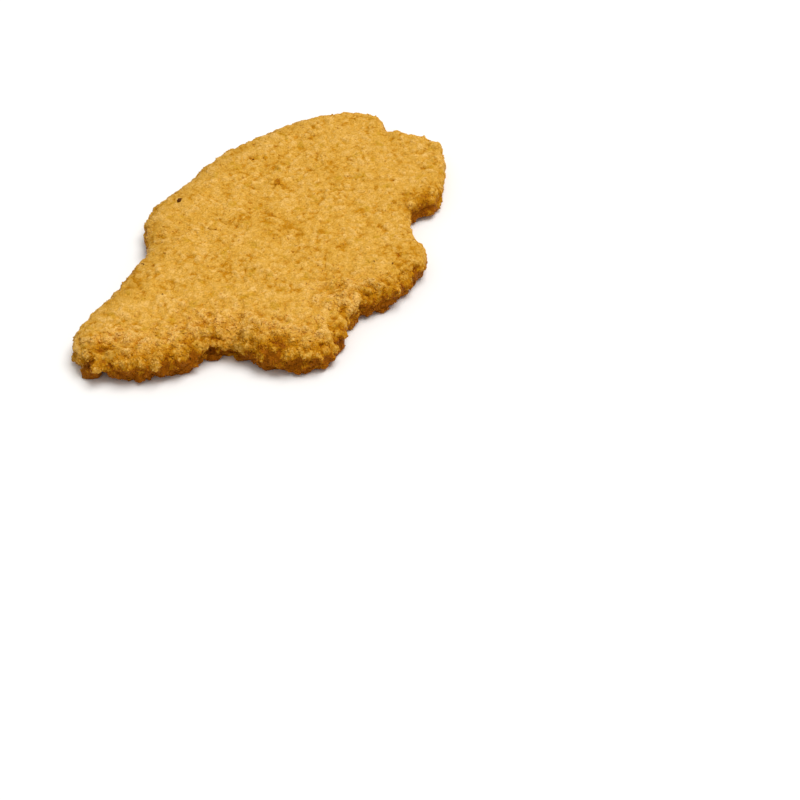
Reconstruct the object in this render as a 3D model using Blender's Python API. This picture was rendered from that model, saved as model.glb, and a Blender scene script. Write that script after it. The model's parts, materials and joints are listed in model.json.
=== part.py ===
# A breaded schnitzel: one flat, lobed piece of meat in its crumb crust, lying on its flatter side.
# Metres, +Z up. X runs along the piece from its narrow tip to its broad head, and the origin is
# the middle of the box that holds it, on the surface it lies on.

import bmesh
import bpy
from mathutils import Vector, noise

MM = 0.001

# Driving sizes
LENGTH = 172 * MM
WIDTH = 110.5 * MM
BODY_THICKNESS = 12.2 * MM
RIM_ROUND = 3.6 * MM
CRUST_COLOUR = (0.715, 0.38, 0.064, 1.0)
CRUST_ROUGHNESS = 0.62

# How the slab is turned into a rounded, uneven piece
OUTLINE_STEPS = 8
VOXEL = 1.5 * MM
RIM_SMOOTHING = 9
UNDERSIDE_BULGE = 0.62
CLUMP_SIZE = 9 * MM
CLUMP_HEIGHT = 0.5 * MM
FLAT_BELOW = 0.12 * MM
KEPT_FACES = 0.17

# The outline seen from above, in millimetres, counter-clockwise from the end of the tip
OUTLINE = {
    "tip": [(-84.5, 5.5), (-85, -5.5), (-79, -14)],
    "lower edge of the tip": [(-69, -22), (-58.5, -27)],
    "folded-in bay": [(-52, -27), (-46, -29), (-39.5, -38.5)],
    "front lobe": [(-35.2, -46), (-29.2, -53.4), (-21, -56.5), (-11, -53.5)],
    "shallow bay": [(-1, -47.5), (6, -45.5)],
    "side lobe": [(15, -49), (30, -46), (42.5, -40), (45.5, -29.5)],
    "notch": [(51, -21), (54, -18.5)],
    "head": [(65.5, -19.5), (76.5, -12.5), (88.5, 1), (90, 8), (87, 16)],
    "nick behind the head": [(80.5, 24.5)],
    "back corner": [(84.5, 30.5), (83.5, 38.5), (72, 48)],
    "long back edge": [(49.5, 55), (20, 56.5), (-5, 51)],
    "shoulder": [(-20.5, 47), (-27.5, 41)],
    "waist": [(-34, 30), (-42, 26)],
    "upper edge of the tip": [(-59, 18.5), (-77, 12.5)],
}

# Where the piece is thicker or thinner than the slab: (x, y, radius, height), in millimetres
SWELLS = (
    (-5, 8, 42, 1.0),
    (52, 20, 26, 0.6),
    (-22, -40, 18, 0.9),
    (24, -34, 18, 0.6),
    (-68, -4, 20, -0.9),
    (78, 0, 14, -0.8),
    (76, 36, 12, -1.0),
    (12, 22, 11, -1.2),
    (-44, -14, 12, -1.1),
    (-24, 38, 12, -0.7),
)


def clear_scene():
    for thing in list(bpy.data.objects):
        bpy.data.objects.remove(thing, do_unlink=True)


def evaluated_mesh(thing):
    bpy.context.view_layer.update()
    graph = bpy.context.evaluated_depsgraph_get()
    return bpy.data.meshes.new_from_object(thing.evaluated_get(graph))


def outline_curve():
    """The outline as one smooth closed curve, filled and extruded into a slab."""
    curve = bpy.data.curves.new("outline", "CURVE")
    curve.dimensions = "2D"
    curve.fill_mode = "BOTH"
    curve.extrude = BODY_THICKNESS / 2 - RIM_ROUND
    curve.bevel_depth = RIM_ROUND
    curve.bevel_resolution = 3
    curve.offset = -RIM_ROUND
    curve.resolution_u = OUTLINE_STEPS
    spline = curve.splines.new("BEZIER")
    spline.use_cyclic_u = True
    points = [point for stretch in OUTLINE.values() for point in stretch]
    spline.bezier_points.add(len(points) - 1)
    for knot, (x, y) in zip(spline.bezier_points, points):
        knot.co = (x * MM, y * MM, 0)
        knot.handle_left_type = knot.handle_right_type = "AUTO"
    return bpy.data.objects.new("outline", curve)


def rounded_slab():
    """The slab with even faces and its rim worn round."""
    curve = outline_curve()
    bpy.context.scene.collection.objects.link(curve)
    slab = bpy.data.objects.new("slab", evaluated_mesh(curve))
    bpy.context.scene.collection.objects.link(slab)
    even = slab.modifiers.new("even faces", "REMESH")
    even.mode = "VOXEL"
    even.voxel_size = VOXEL
    worn = slab.modifiers.new("round rim", "SMOOTH")
    worn.factor = 0.5
    worn.iterations = RIM_SMOOTHING
    mesh = evaluated_mesh(slab)
    for helper in (slab, curve):
        bpy.data.objects.remove(helper, do_unlink=True)
    return mesh


def swell_at(x, y):
    """How much thicker than the slab the piece is here: smooth round hills and hollows."""
    total = 0.0
    for centre_x, centre_y, radius, height in SWELLS:
        apart = Vector((x / MM - centre_x, y / MM - centre_y)).length / radius
        if apart < 1:
            total += height * (1 - apart * apart) ** 2
    return total * MM


def shape(mesh):
    """Swells the top, thins the underside and adds the clumps of the crust to top and rim."""
    normals = [vertex.normal.copy() for vertex in mesh.vertices]
    half = BODY_THICKNESS / 2
    for vertex, normal in zip(mesh.vertices, normals):
        place = vertex.co.copy()
        clump = noise.fractal(place / CLUMP_SIZE, 1.0, 2.0, 2) * CLUMP_HEIGHT
        clump *= 1 + min(normal.z, 0)
        above = max(place.z, 0) / half
        below = min(place.z, 0)
        place.z = max(place.z, 0) + below * UNDERSIDE_BULGE + above * swell_at(place.x, place.y)
        vertex.co = place + normal * clump


def with_fewer_faces(mesh):
    """The same shape with the triangles it needs."""
    helper = bpy.data.objects.new("fewer faces", mesh)
    bpy.context.scene.collection.objects.link(helper)
    fewer = helper.modifiers.new("fewer faces", "DECIMATE")
    fewer.ratio = KEPT_FACES
    lighter = evaluated_mesh(helper)
    bpy.data.objects.remove(helper, do_unlink=True)
    return lighter


def settle(mesh):
    """Presses the underside flat on z = 0 and joins it into one face."""
    lowest = min(vertex.co.z for vertex in mesh.vertices) + FLAT_BELOW
    for vertex in mesh.vertices:
        vertex.co.z = max(vertex.co.z - lowest, 0.0)
    shell = bmesh.new()
    shell.from_mesh(mesh)
    flat = [face for face in shell.faces if all(vertex.co.z == 0.0 for vertex in face.verts)]
    bmesh.ops.dissolve_faces(shell, faces=flat, use_verts=True)
    shell.to_mesh(mesh)
    shell.free()


def fit(mesh):
    """Centres the mesh on its box and scales it to the driving length and width."""
    low = Vector([min(vertex.co[axis] for vertex in mesh.vertices) for axis in range(2)])
    high = Vector([max(vertex.co[axis] for vertex in mesh.vertices) for axis in range(2)])
    middle, size = (low + high) / 2, high - low
    for vertex in mesh.vertices:
        vertex.co.x = (vertex.co.x - middle.x) * LENGTH / size.x
        vertex.co.y = (vertex.co.y - middle.y) * WIDTH / size.y


def crust_material():
    material = bpy.data.materials.new("golden crust")
    material.use_nodes = True
    shader = material.node_tree.nodes["Principled BSDF"]
    shader.inputs["Base Color"].default_value = CRUST_COLOUR
    shader.inputs["Roughness"].default_value = CRUST_ROUGHNESS
    shader.inputs["Metallic"].default_value = 0.0
    material.diffuse_color = CRUST_COLOUR
    return material


def make_schnitzel():
    slab = rounded_slab()
    shape(slab)
    mesh = with_fewer_faces(slab)
    mesh.name = "schnitzel"
    settle(mesh)
    fit(mesh)
    mesh.shade_smooth()
    mesh.materials.append(crust_material())
    schnitzel = bpy.data.objects.new("schnitzel", mesh)
    bpy.context.scene.collection.objects.link(schnitzel)


clear_scene()
make_schnitzel()
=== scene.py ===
import json
import math

import bmesh
import bpy
import numpy as np
from mathutils import Matrix, Vector, kdtree

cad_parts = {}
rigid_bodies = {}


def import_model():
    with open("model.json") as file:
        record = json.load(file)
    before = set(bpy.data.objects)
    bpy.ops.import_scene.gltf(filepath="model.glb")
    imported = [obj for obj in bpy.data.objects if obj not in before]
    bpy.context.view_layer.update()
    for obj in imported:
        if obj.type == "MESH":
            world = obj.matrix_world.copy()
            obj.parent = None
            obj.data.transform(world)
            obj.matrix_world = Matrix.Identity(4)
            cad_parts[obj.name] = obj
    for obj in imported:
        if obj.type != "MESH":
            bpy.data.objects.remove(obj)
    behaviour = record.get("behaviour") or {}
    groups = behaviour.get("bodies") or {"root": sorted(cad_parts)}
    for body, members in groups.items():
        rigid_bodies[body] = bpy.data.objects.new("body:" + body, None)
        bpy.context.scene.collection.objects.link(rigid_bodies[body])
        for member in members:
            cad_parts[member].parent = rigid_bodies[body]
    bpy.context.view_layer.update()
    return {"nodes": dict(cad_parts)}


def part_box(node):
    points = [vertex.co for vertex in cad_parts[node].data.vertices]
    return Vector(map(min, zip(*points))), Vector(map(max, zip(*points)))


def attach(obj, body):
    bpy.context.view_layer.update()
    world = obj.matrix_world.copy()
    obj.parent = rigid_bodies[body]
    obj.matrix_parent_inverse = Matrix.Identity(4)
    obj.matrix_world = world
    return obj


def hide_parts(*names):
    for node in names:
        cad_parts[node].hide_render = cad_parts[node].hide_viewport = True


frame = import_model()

mm = 0.001
low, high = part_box("schnitzel")
length = high.x - low.x
middle = (low + high) / 2
scene = bpy.context.scene


def addNode(tree, kind, inputs=None, **settings):
    node = tree.nodes.new(kind)
    for name, value in settings.items():
        setattr(node, name, value)
    for key, value in (inputs or {}).items():
        if isinstance(value, bpy.types.NodeSocket):
            tree.links.new(value, node.inputs[key])
        else:
            node.inputs[key].default_value = value
    return node


def mathNode(tree, operation, first, second=0.0, third=0.0):
    inputs = {0: first, 1: second, 2: third}
    return addNode(tree, "ShaderNodeMath", inputs, operation=operation).outputs[0]


def rangeNode(tree, value, fromLow, fromHigh, toLow=0.0, toHigh=1.0, smooth=True):
    node = addNode(tree, "ShaderNodeMapRange", {
        "Value": value, "From Min": fromLow, "From Max": fromHigh,
        "To Min": toLow, "To Max": toHigh,
    }, interpolation_type="SMOOTHSTEP" if smooth else "LINEAR")
    return node.outputs["Result"]


def linkIn(thing):
    scene.collection.objects.link(thing)
    return thing


def appliedMesh(thing):
    bpy.context.view_layer.update()
    graph = bpy.context.evaluated_depsgraph_get()
    return bpy.data.meshes.new_from_object(thing.evaluated_get(graph))


def vertexArray(mesh, what="co"):
    values = np.empty(len(mesh.vertices) * 3, np.float32)
    mesh.vertices.foreach_get(what, values)
    return values.reshape(-1, 3).astype(float)


def moveVertices(mesh, points):
    mesh.vertices.foreach_set("co", points.astype(np.float32).ravel())
    mesh.update()


def storeFloats(mesh, name, values):
    attribute = mesh.attributes.get(name) or mesh.attributes.new(name, "FLOAT", "POINT")
    attribute.data.foreach_set("value", np.asarray(values, np.float32))


def readFloats(mesh, name):
    values = np.empty(len(mesh.vertices), np.float32)
    mesh.attributes[name].data.foreach_get("value", values)
    return values.astype(float)


def smoothStep(values, start, end):
    t = np.clip((values - start) / (end - start), 0, 1)
    return t * t * (3 - 2 * t)


def fadeOut(values, start, end):
    return 1 - smoothStep(values, start, end)


cameraSpec = {
    "azimuth": -42,
    "elevation": 45,
    "distance": 3.721,        # in lengths of the piece
    "aimAlong": -0.0801,      # where it looks, in lengths from the middle of the piece
    "aimAcross": -0.4869,
    "lens": 85,
    "sensor": 36,
    "clip": (0.01, 20),
}


def makeCamera():
    # looks down on the piece from its lower left, past its right-hand side
    spec = cameraSpec
    turn, tilt = math.radians(spec["azimuth"]), math.radians(spec["elevation"])
    back = Vector((math.sin(turn) * math.cos(tilt), -math.cos(turn) * math.cos(tilt),
                   math.sin(tilt)))
    aim = Vector((middle.x + spec["aimAlong"] * length,
                  middle.y + spec["aimAcross"] * length, low.z))
    data = bpy.data.cameras.new("camera")
    data.lens = spec["lens"]
    data.sensor_width = spec["sensor"]
    data.clip_start, data.clip_end = spec["clip"]
    camera = linkIn(bpy.data.objects.new("camera", data))
    camera.location = aim + back * spec["distance"] * length
    camera.rotation_euler = (-back).to_track_quat("-Z", "Y").to_euler()
    scene.camera = camera


makeCamera()
print("camera placed")

crustSpec = {
    "faceSize": 0.46 * mm,
    "softRounds": 20, "softStrength": 0.5,

    # where the crust is rough, seen from the rim inwards
    "rimSlope": 0.35,                 # faces that look up or down less than this are the rim
    "frontWay": (-0.67, -0.74, 0),    # towards the side that the piece shows
    "frontTurn": (-0.15, 0.65),       # how much the rim looks that way, at no effect and at full
    "shortReach": 6 * mm,             # how far in from the rim it is rough, behind
    "longReach": 27 * mm, "headReach": 8 * mm,      # and in front, at the tip and at the head
    "reachChange": (-5 * mm, 22 * mm),              # where along the piece the reach changes
    "rimRough": 0.22, "frontRough": 0.5,
    "roughFade": (0.1, 1),            # in reaches
    "headCalm": 0.35, "headCalmAlong": (0, 50 * mm),      # smoother towards the wide end
    "biteRough": (0.8, 1.4), "biteCrumbs": (0.75, 1.15),  # smoother in a bite, in its heights

    # where it is browner or paler, and where shade is painted on
    "wallSlope": (0.03, 0.55), "wallTop": 12 * mm, "wallBehind": 0.3,
    "headWall": 0.35, "headWallAlong": (30 * mm, 60 * mm),      # less brown at the wide end
    "shoulder": 9 * mm, "shoulderShade": 0.22,   # how far in from a wall the top gets painted shade on its rounded shoulder, and how much
    # a paler tan on the rims away from the front, part of the painted rim shade
    "shadedRimTan": 0.12, "shadedRimReach": (1 * mm, 13 * mm),
    "paleWall": 0.6,                  # how much of a wall's browning and painted shade a pale patch takes off
    "shadedWay": (-0.74, 0.67, 0),      # towards the rims turned from the lamp, which get the most painted shade
    "shadedTurn": (0, 0.9), "shadedReach": 12 * mm,
    # hollows and basins get painted shade
    "hollowSteps": 6, "basinSteps": 70,      # how wide a hollow counts, in rounds of averaging
    "basinShare": 0.4,

    # the hidden underside keeps fewer faces than the rest
    "underSlope": -0.5, "underTop": 1.2 * mm, "kept": 0.64,

    # the relief: sizes across, and heights
    "sink": 0.2 * mm,                 # it starts a little under the plain solid's surface
    "bendSize": 2.4 * mm, "bend": 1.7 * mm,      # bends the crumbs out of round
    "fineBendSize": 0.8 * mm, "fineBend": 0.35 * mm,
    "swellSize": 16 * mm, "swellHeight": 1.1 * mm,
    "knobSize": 6.5 * mm, "knobTop": 1.3 * mm, "knobRim": 4.6 * mm,
    "knobRough": (0.2, 1.0), "knobOnWall": 1.3,
    "clumpSize": 4.6 * mm, "clumpTop": 0.9 * mm, "clumpRim": 5.2 * mm,
    "clumpRough": (0.15, 0.8), "clumpBendSize": 5 * mm, "clumpBend": 3 * mm,
    "lumpSize": 3.6 * mm, "lumpHeight": 1.0 * mm, "lumpRim": 0.7 * mm,
    "lumpRough": (0.3, 1.0), "lumpRoundness": 0.35, "lumpLevel": 0.45,
    "crumbSize": 1.95 * mm, "crumbHeight": 0.6 * mm,
    "grainSize": 1.1 * mm, "grainHeight": 0.14 * mm,
    "creaseSize": 5.5 * mm, "creaseDepth": 0.5 * mm, "creaseWidth": 0.13,
    "creaseBendSize": 4 * mm, "creaseBend": 5 * mm,
    "creasePlaceSize": 4.5 * mm, "creasePlaces": (0.11, 0.2),
    "pressed": 0.66,                  # how much of the fine relief is left on the top,
    "pressedShares": (0.5, 1.4),      # and how that varies from place to place
    "pressedSize": 9 * mm, "pressedNoise": (-0.12, 0.12),
    "loose": 1.05, "looseFrom": 0.9,  # and how much there is where the crust is rough
    "softRough": (0.1, 0.5), "softShare": 0.6,      # cliffs are softened in the rough crust

    # crumbs with round tops, each tipped its own way
    "chipCurve": 1.3, "chipTop": 0.45, "chipHeights": (0.5, 1.15),
    "chipTip": 1.3, "chipUneven": 0.55,
}

# Browner places on the top: x, y, reach in mm, and how brown
toastPatches = (
    (21.6, 25, 2.4, 0.9), (44.5, 17.5, 5, 0.3), (6.5, 4.5, 7, 0.35), (10.5, 20.5, 5, 0.3),
    (57.5, -17.5, 6, 0.55), (16.5, -18, 2.2, 0.5), (-21, 1.5, 2.4, 0.5), (-50, 16, 6, 0.3),
    (30.5, -33.5, 5, 0.2), (7.5, 11.5, 2.6, 0.5), (4.6, 8.8, 1.8, 0.5), (-2.5, 16.5, 4, 0.3),
    (9.5, -3.5, 2.4, 0.45), (30.3, 35, 1.8, 0.5), (35.2, -7.4, 2, 0.45), (23.4, 21.8, 1.8, 0.5),
    (-32.5, -43, 4.5, 0.5), (-57.6, -22.5, 5, 0.35), (-80.6, -4.1, 2.5, 0.6), (-73, -11.6, 4, 0.3),
    (62.8, -19.4, 4, 0.3), (24.2, -39, 3, 0.3),
)

# Paler places, in the same way
palePatches = (
    (-68, -10, 14, 0.22), (-85, 2, 6, 0.8), (-50.5, -21.5, 4, 0.6), (-26, -38.5, 3.5, 0.5),
    (9.5, 17.5, 4, 0.2), (18.5, 12.5, 6, 0.1), (-0.4, -42.7, 5, 0.6), (6.2, -41.6, 4, 0.4),
    (-42.7, -28.7, 5, 0.6), (-21.7, -51.5, 4, 0.5),
)

# Where the rim is folded in or, with a depth below zero, swollen: x, y, z, reach and depth in mm
dents = (
    (-84.5, -4.5, 1, 4.5, -2.0), (-76.7, -16.5, 0.5, 4.5, 2.0), (-61.5, -23.5, 1, 5, -1.4),
    (76.5, 18.5, 9, 5, -1.6), (84.5, 3, 9, 5, -1.6), (-59, -22.5, 7.5, 5, 1.4),
    (-51, -27.5, 3.5, 6, 2.6), (-44.5, -31, 3, 5, 2.2), (-25.4, -53.5, 2.5, 3.2, 1.6),
    (-36, -46, 1.0, 4, 1.4), (-64, -25, 0.5, 3, 1.2), (20, -48.5, 1.5, 4, 1.2),
    (38, -43, 1.0, 4, 1.4),
)

# Pieces missing from the lower edge, in mm: x, y, z, half sizes along, across and up, and turn
bites = ((-82.4, -8.6, 0.0, 5.2, 2.2, 4.8, 48), (-72.6, -19.4, 0.0, 1.6, 1.4, 1.8, 40))


def patchField(points, patches):
    field = np.zeros(len(points))
    for x, y, reach, amount in patches:
        apart = np.hypot(points[:, 0] - x * mm, points[:, 1] - y * mm) / (reach * mm)
        field = np.maximum(field, amount * np.exp(-apart ** 2))
    return field


def biteShapes():
    shell = bmesh.new()
    for x, y, z, along, across, up, turn in bites:
        place = Matrix.Translation(Vector((x, y, z)) * mm)
        place = place @ Matrix.Rotation(math.radians(turn), 4, "Z")
        place = place @ Matrix.Diagonal(Vector((along, across, up, 1 / mm)) * mm)
        bmesh.ops.create_icosphere(shell, subdivisions=3, radius=1.0, matrix=place)
    mesh = bpy.data.meshes.new("bites")
    shell.to_mesh(mesh)
    shell.free()
    return linkIn(bpy.data.objects.new("bites", mesh))


def plainCore():
    # the plain solid with its bites, in small even faces
    spec = crustSpec
    shell = bmesh.new()
    shell.from_mesh(frame["nodes"]["schnitzel"].data)
    bmesh.ops.remove_doubles(shell, verts=shell.verts, dist=0.001 * mm)
    mesh = bpy.data.meshes.new("plainCore")
    shell.to_mesh(mesh)
    shell.free()
    helper = linkIn(bpy.data.objects.new("plainCore", mesh))
    bitten = helper.modifiers.new("bites", "BOOLEAN")
    bitten.operation = "DIFFERENCE"
    bitten.object = biteShapes()
    even = helper.modifiers.new("even faces", "REMESH")
    even.mode = "VOXEL"
    even.voxel_size = spec["faceSize"]
    soft = helper.modifiers.new("soft edges", "SMOOTH")
    soft.factor = spec["softStrength"]
    soft.iterations = spec["softRounds"]
    core = appliedMesh(helper)
    bpy.data.objects.remove(bitten.object, do_unlink=True)
    bpy.data.objects.remove(helper, do_unlink=True)
    return core


def dentRim(mesh):
    points, normals = vertexArray(mesh), vertexArray(mesh, "normal")
    for x, y, z, reach, depth in dents:
        apart = np.linalg.norm(points - np.array((x, y, z)) * mm, axis=1) / (reach * mm)
        push = depth * mm * np.clip(1 - apart ** 2, 0, 1) ** 2
        points -= normals * push[:, None]
    moveVertices(mesh, points)


def markCore(mesh):
    # how rough, how far down a wall, how brown and how pale the crust is at each point, and where
    # shade is painted on
    spec = crustSpec
    points, normals = vertexArray(mesh), vertexArray(mesh, "normal")
    side = np.flatnonzero(np.abs(normals[:, 2]) < spec["rimSlope"])
    tree = kdtree.KDTree(len(side))
    for index, (x, y) in enumerate(points[side, :2]):
        tree.insert((x, y, 0), index)
    tree.balance()
    found = [tree.find((x, y, 0)) for x, y, z in points]
    inside = np.array([distance for place, index, distance in found])
    outward = normals[side[[index for place, index, distance in found]]]

    front = smoothStep(outward @ np.array(spec["frontWay"]), *spec["frontTurn"])
    front *= 1 - spec["headCalm"] * smoothStep(points[:, 0], *spec["headCalmAlong"])
    reach = spec["headReach"] - spec["longReach"]
    reach = spec["longReach"] + reach * smoothStep(points[:, 0], *spec["reachChange"])
    rim = spec["rimRough"] + spec["frontRough"] * front
    rough = np.maximum(rim * fadeOut(inside, 0, spec["shortReach"]),
                       front * fadeOut(inside / reach, *spec["roughFade"]))
    crumbly = rough
    for x, y, z, along, across, up, turn in bites:
        apart = np.linalg.norm(points - np.array((x, y, z)) * mm, axis=1) / (up * mm)
        rough = rough * smoothStep(apart, *spec["biteRough"])
        crumbly = crumbly * smoothStep(apart, *spec["biteCrumbs"])

    # walls are browner, partly as a toasted edge and partly as painted shade: the front walls and
    # the shoulders above them are darkened as if in shade
    wall = smoothStep(1 - normals[:, 2], *spec["wallSlope"])
    wall *= fadeOut(points[:, 2], 0, spec["wallTop"])
    wall = np.maximum(wall, spec["shoulderShade"] * fadeOut(inside, 0, spec["shoulder"]))
    wall *= spec["wallBehind"] + (1 - spec["wallBehind"]) * front
    wall *= 1 - spec["headWall"] * smoothStep(points[:, 0], *spec["headWallAlong"])
    pale = patchField(points, palePatches)
    wall *= 1 - spec["paleWall"] * np.minimum(pale, 1)
    # painted shade on the rims: paler on those away from the front, and darker on those turned
    # from the lamp
    shadedRimTan = spec["shadedRimTan"] * (1 - front) * fadeOut(inside, *spec["shadedRimReach"])
    shaded = smoothStep(outward @ np.array(spec["shadedWay"]), *spec["shadedTurn"])
    shaded *= fadeOut(inside, 0, spec["shadedReach"])

    storeFloats(mesh, "rough", rough)
    storeFloats(mesh, "crumbly", crumbly)
    storeFloats(mesh, "shaded", shaded)
    storeFloats(mesh, "wall", wall)
    storeFloats(mesh, "toast", patchField(points, toastPatches))
    # pale patches, plus the pale tan of the painted rim shade
    storeFloats(mesh, "pale", pale + shadedRimTan)


def voronoiNode(tree, place, size, feature="F1", smoothness=None):
    inputs = {"Vector": place, "Scale": 1 / size}
    if smoothness is not None:
        inputs["Smoothness"] = smoothness
    return addNode(tree, "ShaderNodeTexVoronoi", inputs, feature=feature)


def noiseHeight(tree, place, size, detail):
    inputs = {"Vector": place, "Scale": 1 / size, "Detail": detail}
    noise = addNode(tree, "ShaderNodeTexNoise", inputs)
    return mathNode(tree, "SUBTRACT", noise.outputs[0], 0.5)


def vectorNode(tree, operation, first, second=(0, 0, 0), result=0):
    node = addNode(tree, "ShaderNodeVectorMath", {0: first, 1: second}, operation=operation)
    return node.outputs[result]


def scaledVector(tree, vector, factor):
    inputs = {0: vector, "Scale": factor}
    return addNode(tree, "ShaderNodeVectorMath", inputs, operation="SCALE").outputs[0]


def bentPlace(tree, place, size, amount):
    inputs = {"Vector": place, "Scale": 1 / size, "Detail": 1.0}
    bend = addNode(tree, "ShaderNodeTexNoise", inputs)
    bend = vectorNode(tree, "SUBTRACT", bend.outputs["Color"], (0.5, 0.5, 0.5))
    return vectorNode(tree, "ADD", place, scaledVector(tree, bend, amount))


def partNode(tree, vector, part):
    return addNode(tree, "ShaderNodeSeparateXYZ", {0: vector}).outputs[part]


def scaledSum(tree, parts):
    total = 0.0
    for value, share in parts:
        total = mathNode(tree, "MULTIPLY_ADD", value, share, total)
    return total


def chippedCells(tree, place, size):
    # cells with round tops of uneven height, each tipped its own way like a broken crumb
    spec = crustSpec
    cells = voronoiNode(tree, place, size)
    chance = partNode(tree, cells.outputs["Color"], 0)
    dome = mathNode(tree, "MULTIPLY", cells.outputs["Distance"], cells.outputs["Distance"])
    dome = mathNode(tree, "MULTIPLY_ADD", dome, -spec["chipCurve"], spec["chipTop"])
    heights = rangeNode(tree, chance, 0, 1, *spec["chipHeights"], smooth=False)
    dome = mathNode(tree, "MULTIPLY", dome, heights)
    offset = vectorNode(tree, "SUBTRACT", place, cells.outputs["Position"])
    offset = scaledVector(tree, offset, 1 / size)
    way = vectorNode(tree, "SUBTRACT", cells.outputs["Color"], (0.5, 0.5, 0.5))
    tip = vectorNode(tree, "DOT_PRODUCT", offset, way, result="Value")
    height = mathNode(tree, "MULTIPLY_ADD", tip, spec["chipTip"], dome)
    uneven = mathNode(tree, "SUBTRACT", chance, 0.5)
    return mathNode(tree, "MULTIPLY_ADD", uneven, spec["chipUneven"], height)


def clumpHeight(tree, place):
    # round hills of uneven size with narrow valleys between them
    spec = crustSpec
    bent = bentPlace(tree, place, spec["clumpBendSize"], spec["clumpBend"])
    return mathNode(tree, "ABSOLUTE", noiseHeight(tree, bent, spec["clumpSize"], 0.0))


def creaseDepth(tree, place):
    # thin winding gaps that come and go
    spec = crustSpec
    bent = bentPlace(tree, place, spec["creaseBendSize"], spec["creaseBend"])
    gap = voronoiNode(tree, bent, spec["creaseSize"], "DISTANCE_TO_EDGE").outputs["Distance"]
    gap = rangeNode(tree, gap, 0.0, spec["creaseWidth"], 1.0, 0.0)
    there = noiseHeight(tree, place, spec["creasePlaceSize"], 1.0)
    return mathNode(tree, "MULTIPLY", gap, rangeNode(tree, there, *spec["creasePlaces"]))


def reliefTree():
    spec = crustSpec
    tree = bpy.data.node_groups.new("crumbRelief", "GeometryNodeTree")
    tree.interface.new_socket("Geometry", in_out="INPUT", socket_type="NodeSocketGeometry")
    tree.interface.new_socket("Geometry", in_out="OUTPUT", socket_type="NodeSocketGeometry")
    start, end = tree.nodes.new("NodeGroupInput"), tree.nodes.new("NodeGroupOutput")
    place = addNode(tree, "GeometryNodeInputPosition").outputs[0]
    normal = addNode(tree, "GeometryNodeInputNormal").outputs[0]
    rough, wall = (addNode(tree, "GeometryNodeInputNamedAttribute", {"Name": name},
                           data_type="FLOAT").outputs["Attribute"] for name in ("rough", "wall"))

    bent = bentPlace(tree, place, spec["bendSize"], spec["bend"])
    bent = bentPlace(tree, bent, spec["fineBendSize"], spec["fineBend"])
    keep = addNode(tree, "GeometryNodeStoreNamedAttribute",
                   {"Geometry": start.outputs[0], "Name": "rest", "Value": bent},
                   data_type="FLOAT_VECTOR", domain="POINT")

    swell = noiseHeight(tree, place, spec["swellSize"], 1.0)
    knob = noiseHeight(tree, place, spec["knobSize"], 2.0)
    lump = voronoiNode(tree, bent, spec["lumpSize"], "SMOOTH_F1", spec["lumpRoundness"])
    lump = mathNode(tree, "SUBTRACT", spec["lumpLevel"], lump.outputs["Distance"])
    crumb = chippedCells(tree, bent, spec["crumbSize"])
    grain = chippedCells(tree, bent, spec["grainSize"])
    pressed = [spec["pressed"] * share for share in spec["pressedShares"]]
    pressed = rangeNode(tree, noiseHeight(tree, place, spec["pressedSize"], 1.0),
                        *spec["pressedNoise"], *pressed)
    loose = rangeNode(tree, rough, 0.0, spec["looseFrom"], 0.0, 1.0, smooth=False)
    fineness = addNode(tree, "ShaderNodeMix", {0: loose, 2: pressed, 3: spec["loose"]},
                       data_type="FLOAT").outputs[0]
    fine = scaledSum(tree, ((crumb, spec["crumbHeight"]), (grain, spec["grainHeight"]),
                            (lump, spec["lumpHeight"])))
    fine = mathNode(tree, "MULTIPLY", fine, fineness)
    lumpShare = rangeNode(tree, rough, *spec["lumpRough"], 0.0, spec["lumpRim"])
    fine = mathNode(tree, "MULTIPLY_ADD", lump, lumpShare, fine)
    knobShare = rangeNode(tree, rough, *spec["knobRough"], spec["knobTop"], spec["knobRim"])
    knobShare = mathNode(tree, "MULTIPLY", knobShare,
                         rangeNode(tree, wall, 0, 1, 1, spec["knobOnWall"]))
    clump = clumpHeight(tree, place)
    clumpShare = rangeNode(tree, rough, *spec["clumpRough"], spec["clumpTop"], spec["clumpRim"])
    height = scaledSum(tree, ((fine, 1.0), (mathNode(tree, "MULTIPLY", knob, knobShare), 1.0),
                              (mathNode(tree, "MULTIPLY", clump, clumpShare), 1.0),
                              (swell, spec["swellHeight"]),
                              (creaseDepth(tree, place), -spec["creaseDepth"])))
    height = mathNode(tree, "SUBTRACT", height, spec["sink"])
    softness = rangeNode(tree, rough, *spec["softRough"], 0.0, spec["softShare"])
    height = addNode(tree, "GeometryNodeBlurAttribute",
                     {0: height, "Iterations": 1, "Weight": softness},
                     data_type="FLOAT").outputs[0]
    raised = addNode(tree, "GeometryNodeStoreNamedAttribute",
                     {"Geometry": keep.outputs[0], "Name": "height", "Value": height},
                     data_type="FLOAT", domain="POINT")
    moved = addNode(tree, "GeometryNodeSetPosition",
                    {"Geometry": raised.outputs[0], "Offset": scaledVector(tree, normal, height)})
    tree.links.new(moved.outputs[0], end.inputs[0])
    return tree


def markHollows(mesh):
    # how deep each point lies below the crumbs and below the lumps round it, in millimetres, for
    # painting shade into the hollows
    heights = readFloats(mesh, "height") / mm
    edges = np.empty(len(mesh.edges) * 2, np.int32)
    mesh.edges.foreach_get("vertices", edges)
    first, second = edges[::2], edges[1::2]
    sharing = np.maximum(np.bincount(edges, minlength=len(heights)), 1)
    level = heights
    for step in range(1, crustSpec["basinSteps"] + 1):
        level = (np.bincount(first, level[second], len(heights))
                 + np.bincount(second, level[first], len(heights))) / sharing
        if step == crustSpec["hollowSteps"]:
            storeFloats(mesh, "hollow", level - heights)
    storeFloats(mesh, "basin", level - heights)


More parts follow.
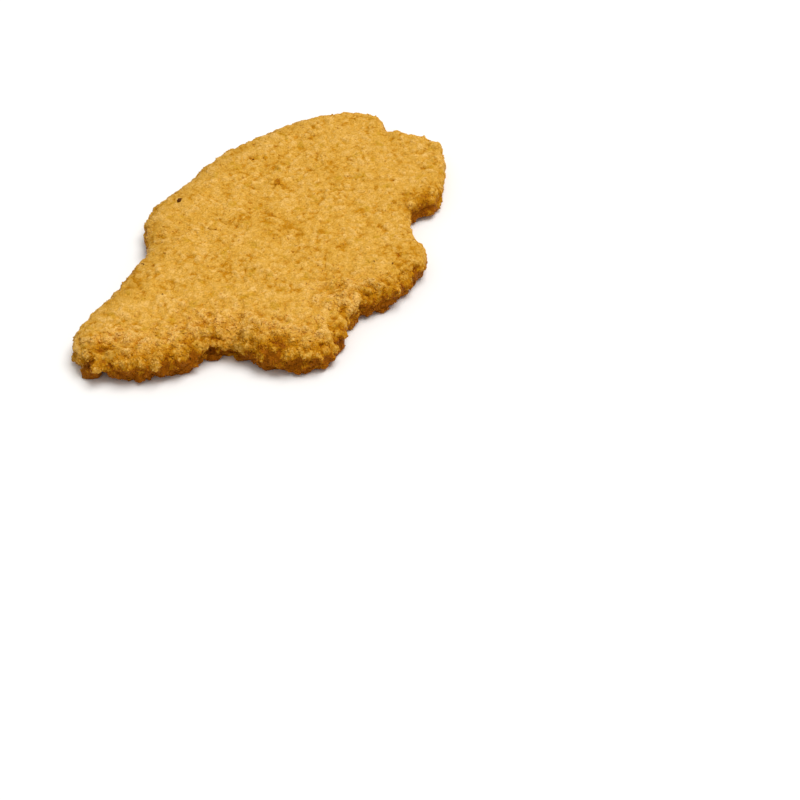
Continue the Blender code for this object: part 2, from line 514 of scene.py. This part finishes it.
def thinUnderside(core):
    spec = crustSpec
    under = core.vertex_groups.new(name="underside")
    normals, points = vertexArray(core.data, "normal"), vertexArray(core.data)
    flat = (normals[:, 2] < spec["underSlope"]) & (points[:, 2] < spec["underTop"])
    under.add(np.flatnonzero(flat).tolist(), 1.0, "REPLACE")
    thin = core.modifiers.new("thin underside", "DECIMATE")
    thin.ratio = spec["kept"]
    thin.vertex_group = "underside"
    thin.vertex_group_factor = 1000.0      # takes faces from this group only
    mesh = appliedMesh(core)
    core.modifiers.clear()
    core.vertex_groups.clear()
    core.data = mesh


def keepOffFloor(mesh):
    points = vertexArray(mesh)
    points[:, 2] = np.maximum(points[:, 2], low.z)
    moveVertices(mesh, points)


def makeCore():
    mesh = plainCore()
    dentRim(mesh)
    markCore(mesh)
    helper = linkIn(bpy.data.objects.new("reliefCore", mesh))
    helper.modifiers.new("crumb relief", "NODES").node_group = reliefTree()
    raised = appliedMesh(helper)
    bpy.data.objects.remove(helper, do_unlink=True)
    keepOffFloor(raised)
    markHollows(raised)
    core = linkIn(bpy.data.objects.new("crustBody", raised))
    thinUnderside(core)
    keepOffFloor(core.data)
    core.data.name = "crustBody"
    core.data.shade_smooth()
    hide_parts("schnitzel")
    return core


core = makeCore()
print("crust body:", sum(len(face.vertices) - 2 for face in core.data.polygons), "triangles")

# Scattered crumbs: radius in mm, and lift out of the crust in radii. On the flat top and on the
# walls they lie as densely as these shares of the rough rim.
crumbSpecs = {
    "goldenCrumbs": {"count": 6500, "radius": (0.3, 0.7), "top": 0.22, "wall": 0.7,
                     "lift": (-0.7, -0.1), "tone": (0.1, 0.9), "toast": 0.0, "seed": 3},
    "paleCrumbs": {"count": 3000, "radius": (0.3, 0.6), "top": 0.2, "wall": 0.4,
                   "lift": (-0.65, 0.1), "tone": (0.6, 1.2), "toast": 0.0, "seed": 5},
    "amberCrumbs": {"count": 3000, "radius": (0.3, 0.65), "top": 0.12, "wall": 1.0,
                    "lift": (-0.75, -0.2), "tone": (0.2, 0.5), "toast": 0.2, "seed": 7},
    "coarseCrumbs": {"count": 6000, "radius": (0.4, 0.9), "top": 0.05, "wall": 0.9,
                     "lift": (-0.8, -0.25), "tone": (0.35, 0.75), "toast": 0.0, "seed": 11},
}

# What all scattered crumbs share
scatterSpec = {
    "kinds": 9, "detail": 1,
    "topSize": 0.7, "rimGrowth": 0.35,      # smaller on the top than at the rough rim
    "topSink": 0.2,
    "underFade": (-0.85, -0.4),             # none below, where the crust looks down
    "underside": 0.9,                       # how much painted shade a crumb takes low down
}

# Crumbs at stated places: x, y and radius in mm
placedSpecs = {
    # underside is how much painted shade a crumb takes low down
    "burntCrumbs": {
        "places": ((-11.6, 41, 0.95), (-10.2, 41.8, 0.7), (-42.6, 21.8, 0.6), (-47.1, 3.5, 0.5),
                   (25, 42.8, 0.4), (23.8, -38.1, 0.45), (18.9, -33.6, 0.45)),
        "sunk": 0.15, "toast": 1.2, "underside": 0.3, "seed": 17,
    },
    "toastedCrumbs": {
        "places": ((22.5, 24.6, 2.1), (23.6, 23.6, 0.8), (29, 39.5, 1.0), (-13, 19.5, 1.1),
                   (47.5, -12, 1.1), (66, 36.5, 1.0)),
        "sunk": 0.3, "toast": 0.9, "underside": 0.15, "seed": 19,
    },
}
placedShape = {"kinds": 4, "detail": 2, "tone": 0.5}

# The shape of a single crumb
grainSpec = {
    "flats": 9, "flatAt": (0.25, 0.8),      # broken faces, and how far out they lie in radii
    "uneven": 0.15,
    "stretch": (0.65, 1.4), "flatness": 0.8,
    "shadedBelow": 0.65,                     # in radii above its middle; the painted shade grows below this
}


def grainShapes(count, detail, rng):
    spec = grainSpec
    shapes = []
    for _ in range(count):
        shell = bmesh.new()
        bmesh.ops.create_icosphere(shell, subdivisions=detail, radius=1.0)
        points = np.array([vertex.co[:] for vertex in shell.verts])
        faces = np.array([[vertex.index for vertex in face.verts] for face in shell.faces])
        shell.free()
        for way in rng.normal(size=(spec["flats"], 3)):
            way /= np.linalg.norm(way)
            over = np.clip(points @ way - rng.uniform(*spec["flatAt"]), 0, None)
            points -= over[:, None] * way
        points *= 1 + rng.uniform(-spec["uneven"], spec["uneven"], (len(points), 1))
        points /= np.linalg.norm(points, axis=1).mean()
        shapes.append((points, faces))
    return shapes


def surfaceSamples(mesh, spec, rng):
    mesh.calc_loop_triangles()
    triangles = np.empty(len(mesh.loop_triangles) * 3, np.int32)
    mesh.loop_triangles.foreach_get("vertices", triangles)
    triangles = triangles.reshape(-1, 3)
    points, normals = vertexArray(mesh), vertexArray(mesh, "normal")
    crumbly, wall = (readFloats(mesh, mark)[triangles].mean(1) for mark in ("crumbly", "wall"))
    corners = points[triangles]
    area = np.cross(corners[:, 1] - corners[:, 0], corners[:, 2] - corners[:, 0])
    normalHere = normals[triangles].mean(1)
    normalHere /= np.linalg.norm(normalHere, axis=1)[:, None]
    weight = np.linalg.norm(area, axis=1) * (spec["top"] + (1 - spec["top"]) * crumbly)
    weight *= 1 + (spec["wall"] - 1) * wall
    weight *= smoothStep(normalHere[:, 2], *scatterSpec["underFade"])
    chosen = rng.choice(len(triangles), spec["count"], p=weight / weight.sum())
    share = rng.dirichlet((1, 1, 1), spec["count"])
    place = (corners[chosen] * share[:, :, None]).sum(1)
    return place, normalHere[chosen], triangles[chosen, 0]


def turnedFrames(normals, rng):
    side = rng.normal(size=normals.shape)
    side -= normals * (side * normals).sum(1)[:, None]
    side /= np.linalg.norm(side, axis=1)[:, None]
    return np.stack([side, np.cross(normals, side), normals], axis=1)


def joinedMesh(name, points, faces, sharp):
    mesh = bpy.data.meshes.new(name)
    mesh.vertices.add(len(points))
    mesh.vertices.foreach_set("co", points.astype(np.float32).ravel())
    mesh.loops.add(len(faces) * 3)
    mesh.loops.foreach_set("vertex_index", faces.astype(np.int32).ravel())
    mesh.polygons.add(len(faces))
    mesh.polygons.foreach_set("loop_start", np.arange(len(faces), dtype=np.int32) * 3)
    mesh.update(calc_edges=True)
    if sharp:
        mesh.shade_flat()
    else:
        mesh.shade_smooth()
    return mesh


def joinGrains(name, shapes, grains, sharp, rng):
    # grains: place, normal, radius, and one value of each mark for each grain
    spec = grainSpec
    count = len(grains["radius"])
    stretch = rng.uniform(*spec["stretch"], (count, 3))
    stretch[:, 2] *= spec["flatness"]
    frames = turnedFrames(grains["normal"], rng)
    kind = rng.integers(0, len(shapes), count)
    allPoints, allFaces, allHollow, used = [], [], [], 0
    marks = {mark: [] for mark in ("tone", "toast", "pale", "wall", "shaded")}
    for index, (points, faces) in enumerate(shapes):
        mine = np.flatnonzero(kind == index)
        radius = grains["radius"][mine, None]
        local = points[None] * (radius * stretch[mine])[:, None, :]
        grown = np.einsum("gpi,gij->gpj", local, frames[mine]) + grains["place"][mine, None]
        grown[:, :, 2] += np.maximum(low.z - grown[:, :, 2].min(1), 0)[:, None]
        starts = np.arange(len(mine)) * len(points)
        allPoints.append(grown.reshape(-1, 3))
        allFaces.append((faces[None] + starts[:, None, None]).reshape(-1, 3) + used)
        used += len(mine) * len(points)
        below = spec["shadedBelow"] * radius - local[:, :, 2]      # painted shade: browner low down on each crumb
        hollow = grains["deep"][mine, None] + grains["underside"] * below / mm
        allHollow.append(hollow.ravel())
        for mark, store in marks.items():
            store.append(np.repeat(grains[mark][mine], len(points)))
    mesh = joinedMesh(name, np.concatenate(allPoints), np.concatenate(allFaces), sharp)
    storeFloats(mesh, "hollow", np.concatenate(allHollow))
    for mark, store in marks.items():
        storeFloats(mesh, mark, np.concatenate(store))
    return linkIn(bpy.data.objects.new(name, mesh))


def makeCrumbs(name, spec, coreMesh):
    shared, count = scatterSpec, spec["count"]
    rng = np.random.default_rng(spec["seed"])
    shapes = grainShapes(shared["kinds"], shared["detail"], rng)
    place, normal, nearest = surfaceSamples(coreMesh, spec, rng)
    crumbly, toast, pale, wall, shaded, basin = (
        readFloats(coreMesh, mark)[nearest]
        for mark in ("crumbly", "toast", "pale", "wall", "shaded", "basin"))
    growth = shared["topSize"] + shared["rimGrowth"] * crumbly
    radius = rng.uniform(*spec["radius"], count) * mm * growth
    lift = rng.uniform(*spec["lift"], count) + shared["topSink"] * (crumbly - 1)
    # deep carries the crust's painted basin shade onto each crumb; wall carries its wall browning
    # and painted shade
    grains = {
        "place": place + normal * (lift * radius)[:, None], "normal": normal, "radius": radius,
        "tone": rng.uniform(*spec["tone"], count), "toast": np.maximum(toast, spec["toast"]),
        "pale": pale, "wall": wall, "shaded": shaded, "deep": crustSpec["basinShare"] * basin,
        "underside": shared["underside"],
    }
    return joinGrains(name, shapes, grains, True, rng)


def makePlacedCrumbs(name, spec, core):
    # crumbs at stated places, sunk a little into the crust
    rng = np.random.default_rng(spec["seed"])
    above, down = high.z + 20 * mm, Vector((0, 0, -1))
    centres, normals = [], []
    for x, y, radius in spec["places"]:
        hit, place, normal, face = core.ray_cast(Vector((x * mm, y * mm, above)), down)
        centres.append(place - normal * spec["sunk"] * radius * mm)
        normals.append(normal)
    radius = np.array([radius for x, y, radius in spec["places"]]) * mm
    none = np.zeros(len(radius))
    grains = {
        "place": np.array(centres), "normal": np.array(normals), "radius": radius,
        "tone": none + placedShape["tone"], "toast": spec["toast"] * radius / radius.max(),
        "pale": none, "wall": none, "shaded": none, "deep": none,
        "underside": spec["underside"],
    }
    shapes = grainShapes(placedShape["kinds"], placedShape["detail"], rng)
    return joinGrains(name, shapes, grains, False, rng)


crumbs = {}
for name, spec in crumbSpecs.items():
    crumbs[name] = makeCrumbs(name, spec, core.data)
for name, spec in placedSpecs.items():
    crumbs[name] = makePlacedCrumbs(name, spec, core)
for name, thing in crumbs.items():
    print(name + ":", len(thing.data.polygons), "triangles")

crustColours = {
    "Pale Crumb": (0.80, 0.47, 0.118, 1),
    "Golden": (0.685, 0.36, 0.046, 1),
    "Amber": (0.525, 0.215, 0.003, 1),
    "Brown": (0.34, 0.10, 0.001, 1),
    "Olive": (0.55, 0.28, 0.004, 1),
}

burntColours = {
    "Pale Crumb": (0.24, 0.085, 0.010, 1),
    "Golden": (0.18, 0.055, 0.003, 1),
    "Amber": (0.14, 0.040, 0.001, 1),
    "Brown": (0.09, 0.024, 0.0005, 1),
    "Olive": (0.12, 0.040, 0.001, 1),
}

browningAndShadeSpec = {
    "cloudSize": 11 * mm, "mottleSize": 3 * mm, "fleckSize": 0.6 * mm, "spotSize": 5.5 * mm,
    "noiseSpread": (-0.2, 0.2),
    "spotReach": (0.1, 0.32), "spotChance": (0.5, 1.0),
    "toastByTone": (1.3, 0.7),       # a dark crumb takes more of it than a light one
    "wallByMottle": (0.6, 1.4),

    # what each adds to the browning, which starts at this level; hollow adds painted shade, and
    # wall adds browning and painted shade
    "level": 0.36,
    "hollow": 0.57, "wall": 1.7, "toast": 0.6, "pale": -0.4, "tone": -0.22,
    "cloud": 0.4, "mottle": 0.52, "spot": 0.45,

    # how much browning and painted shade turns the crust to each colour
    "golden": (-0.15, 0.35), "amber": (0.28, 0.68), "brown": (0.66, 1.05),
    "oliveSize": 5 * mm, "oliveShift": (0.3, 0.1, 0.2), "oliveFrom": (0.1, 0.22), "olive": 0.6,

    "flecks": (0.82, 1.18), "fleckGreen": 1.28, "fleckBlue": 2.6,     # dark flecks are deeper
    # how dark the painted shade on the rims turned from the lamp gets
    "deepestShade": 0.84,
    "roughness": (0.36, 0.62),
}


def newGroup(name, inputs, outputs):
    group = bpy.data.node_groups.new(name, "ShaderNodeTree")
    for label, kind in inputs.items():
        group.interface.new_socket(label, in_out="INPUT", socket_type=kind)
    for label, kind in outputs.items():
        group.interface.new_socket(label, in_out="OUTPUT", socket_type=kind)
    return group, group.nodes.new("NodeGroupInput"), group.nodes.new("NodeGroupOutput")


def mixColour(tree, factor, first, second, kind="MIX"):
    inputs = {0: factor, 6: first, 7: second}
    return addNode(tree, "ShaderNodeMix", inputs, data_type="RGBA", blend_type=kind).outputs[2]


def colourFrom(tree, red, green, blue):
    return addNode(tree, "ShaderNodeCombineColor", {0: red, 1: green, 2: blue}).outputs[0]


def browningAndShadeGroup():
    # turns how deep, how far down, how toasted and which crumb into one colour, with painted shade
    # in the hollows, on the rims turned from the lamp and in part on the walls
    spec = browningAndShadeSpec
    marks = ("Tone", "Hollow", "Wall", "Toast", "Pale", "Shaded")
    group, start, end = newGroup(
        "crustBrowningAndShade",
        {"Place": "NodeSocketVector", **{mark: "NodeSocketFloat" for mark in marks},
         **{colour: "NodeSocketColor" for colour in crustColours}},
        {"Color": "NodeSocketColor", "Roughness": "NodeSocketFloat"})
    inputs = start.outputs
    place = inputs["Place"]
    cloud, mottle, fleck = (noiseHeight(group, place, spec[size], 2.0)
                            for size in ("cloudSize", "mottleSize", "fleckSize"))
    cells = voronoiNode(group, place, spec["spotSize"])
    chance = partNode(group, cells.outputs["Color"], 0)
    spot = mathNode(group, "MULTIPLY",
                    rangeNode(group, cells.outputs["Distance"], *spec["spotReach"], 1, 0),
                    rangeNode(group, chance, *spec["spotChance"], smooth=False))
    toast = rangeNode(group, inputs["Tone"], 0.0, 1.0, *spec["toastByTone"], smooth=False)
    toast = mathNode(group, "MULTIPLY", inputs["Toast"], toast)
    wall = rangeNode(group, mottle, *spec["noiseSpread"], *spec["wallByMottle"])
    wall = mathNode(group, "MULTIPLY", inputs["Wall"], wall)
    brown = scaledSum(group, (
        (inputs["Hollow"], spec["hollow"]), (wall, spec["wall"]), (toast, spec["toast"]),
        (inputs["Pale"], spec["pale"]), (inputs["Tone"], spec["tone"]),
        (cloud, spec["cloud"]), (mottle, spec["mottle"]), (spot, spec["spot"])))
    brown = mathNode(group, "ADD", brown, spec["level"])
    colour = mixColour(group, rangeNode(group, brown, *spec["golden"]),
                       inputs["Pale Crumb"], inputs["Golden"])
    olive = vectorNode(group, "ADD", place, spec["oliveShift"])
    olive = rangeNode(group, noiseHeight(group, olive, spec["oliveSize"], 1.0),
                      *spec["oliveFrom"], 0, spec["olive"])
    colour = mixColour(group, olive, colour, inputs["Olive"])
    colour = mixColour(group, rangeNode(group, brown, *spec["amber"]), colour, inputs["Amber"])
    colour = mixColour(group, rangeNode(group, brown, *spec["brown"]), colour, inputs["Brown"])
    shade = rangeNode(group, fleck, *spec["noiseSpread"], *spec["flecks"], smooth=False)
    shade = colourFrom(group, shade, mathNode(group, "POWER", shade, spec["fleckGreen"]),
                       mathNode(group, "POWER", shade, spec["fleckBlue"]))
    colour = mixColour(group, 1.0, colour, shade, "MULTIPLY")
    # painted shade: darker on the rims turned from the lamp
    shaded = rangeNode(group, inputs["Shaded"], 0.0, 1.0, 1.0, spec["deepestShade"], smooth=False)
    colour = mixColour(group, 1.0, colour, colourFrom(group, shaded, shaded, shaded), "MULTIPLY")
    group.links.new(colour, end.inputs["Color"])
    group.links.new(rangeNode(group, fleck, *spec["noiseSpread"], *spec["roughness"]),
                    end.inputs["Roughness"])
    return group


# How the crust and the loose crumbs shine, and the fine bumps on them
finishSpec = {
    "specular": 0.05,
    "gapWidth": (0.02, 0.14), "gapShade": 0.3,       # painted shade in the joints between pressed crumbs
    "gapPlaceSize": 3.5 * mm, "gapPlaces": (0.05, 0.15),
    "chipSize": 0.75 * mm, "gritSize": 0.3 * mm, "grit": 0.5,
    "crustBump": 0.7, "crustBumpHeight": 0.2 * mm,
    "crumbGritSize": 0.35 * mm, "crumbBump": 0.5, "crumbBumpHeight": 0.25 * mm,
}


def newMaterial(name):
    material = bpy.data.materials.new(name)
    material.use_nodes = True
    tree = material.node_tree
    shader = tree.nodes["Principled BSDF"]
    shader.inputs["Specular IOR Level"].default_value = finishSpec["specular"]
    return material, tree, shader


def markNode(tree, name, output="Fac"):
    return addNode(tree, "ShaderNodeAttribute", attribute_name=name).outputs[output]


def useBrowningAndShade(tree, shader, group, colours, values):
    node = tree.nodes.new("ShaderNodeGroup")
    node.node_tree = group
    for label, value in values.items():
        tree.links.new(value, node.inputs[label])
    for label, colour in colours.items():
        node.inputs[label].default_value = colour
    tree.links.new(node.outputs["Color"], shader.inputs["Base Color"])
    tree.links.new(node.outputs["Roughness"], shader.inputs["Roughness"])


def useBump(tree, shader, height, strength, distance):
    inputs = {"Height": height, "Strength": strength, "Distance": distance}
    bump = addNode(tree, "ShaderNodeBump", inputs)
    tree.links.new(bump.outputs[0], shader.inputs["Normal"])


def crustMaterial(group):
    spec, size = finishSpec, crustSpec["crumbSize"]
    material, tree, shader = newMaterial("pressedCrust")
    rest = markNode(tree, "rest", "Vector")
    tone = partNode(tree, voronoiNode(tree, rest, size).outputs["Color"], 1)
    # painted shade: browner in the hollows and basins, and in the gaps between crumbs
    hollow = mathNode(tree, "MULTIPLY_ADD", markNode(tree, "basin"), crustSpec["basinShare"],
                      markNode(tree, "hollow"))
    gap = voronoiNode(tree, rest, size, "DISTANCE_TO_EDGE").outputs["Distance"]
    there = noiseHeight(tree, rest, spec["gapPlaceSize"], 1.0)
    gap = mathNode(tree, "MULTIPLY", rangeNode(tree, gap, *spec["gapWidth"], 1.0, 0.0),
                   rangeNode(tree, there, *spec["gapPlaces"]))
    hollow = mathNode(tree, "MULTIPLY_ADD", gap, spec["gapShade"], hollow)
    useBrowningAndShade(tree, shader, group, crustColours, {
        "Place": rest, "Tone": tone, "Hollow": hollow, "Wall": markNode(tree, "wall"),
        "Toast": markNode(tree, "toast"), "Pale": markNode(tree, "pale"),
        "Shaded": markNode(tree, "shaded")})
    chips = chippedCells(tree, rest, spec["chipSize"])
    grit = noiseHeight(tree, rest, spec["gritSize"], 2.0)
    useBump(tree, shader, mathNode(tree, "MULTIPLY_ADD", grit, spec["grit"], chips),
            spec["crustBump"], spec["crustBumpHeight"])
    return material


def crumbMaterial(name, group, colours):
    spec = finishSpec
    material, tree, shader = newMaterial(name)
    place = addNode(tree, "ShaderNodeTexCoord").outputs["Object"]
    useBrowningAndShade(tree, shader, group, colours, {"Place": place, **{
        mark.title(): markNode(tree, mark)
        for mark in ("tone", "hollow", "wall", "toast", "pale", "shaded")}})
    useBump(tree, shader, noiseHeight(tree, place, spec["crumbGritSize"], 2.0),
            spec["crumbBump"], spec["crumbBumpHeight"])
    return material


browningAndShade = browningAndShadeGroup()
core.data.materials.append(crustMaterial(browningAndShade))
for name, thing in crumbs.items():
    colours = burntColours if name == "burntCrumbs" else crustColours
    thing.data.materials.append(crumbMaterial(name[:-1], browningAndShade, colours))
for thing in [core, *crumbs.values()]:
    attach(thing, "root")
print("finishes made")

stageSpec = {
    "floorHalf": 3.0,
    "floorColour": (0.93, 0.93, 0.925, 1),
    "floorRoughness": 0.9, "floorSpecular": 0.1,
    "skyColour": (1.0, 0.98, 0.94, 1),
    "skyAtHorizon": 0.26,
    "skyOverhead": 0.6,
    "lampFrom": (0.33, -0.1, 1.0),     # high up, from the right of the camera
    "lampStrength": 2.2,
    "lampSpread": 42,
}


def makeFloor(spec):
    half = spec["floorHalf"]
    corners = [(x * half, y * half, low.z) for x, y in ((-1, -1), (1, -1), (1, 1), (-1, 1))]
    mesh = bpy.data.meshes.new("floor")
    mesh.from_pydata(corners, [], [(0, 1, 2, 3)])
    floor = linkIn(bpy.data.objects.new("floor", mesh))
    material = bpy.data.materials.new("floorPaper")
    material.use_nodes = True
    shader = material.node_tree.nodes["Principled BSDF"]
    shader.inputs["Base Color"].default_value = spec["floorColour"]
    shader.inputs["Roughness"].default_value = spec["floorRoughness"]
    shader.inputs["Specular IOR Level"].default_value = spec["floorSpecular"]
    mesh.materials.append(material)


def makeSky(spec):
    world = bpy.data.worlds.new("studio")
    scene.world = world
    world.use_nodes = True
    tree = world.node_tree
    sky = tree.nodes["Background"]
    sky.inputs["Color"].default_value = spec["skyColour"]
    way = addNode(tree, "ShaderNodeTexCoord").outputs["Generated"]
    up = partNode(tree, way, 2)
    strength = rangeNode(tree, up, 0.0, 1.0, spec["skyAtHorizon"], spec["skyOverhead"])
    tree.links.new(strength, sky.inputs["Strength"])


def makeLamp(spec):
    lamp = bpy.data.lights.new("softLamp", "SUN")
    lamp.energy = spec["lampStrength"]
    lamp.angle = math.radians(spec["lampSpread"])
    thing = linkIn(bpy.data.objects.new("softLamp", lamp))
    thing.rotation_euler = Vector(spec["lampFrom"]).to_track_quat("Z", "Y").to_euler()


def makeStage():
    makeFloor(stageSpec)
    makeSky(stageSpec)
    makeLamp(stageSpec)
    scene.view_settings.view_transform = "Standard"


makeStage()
print("stage set")
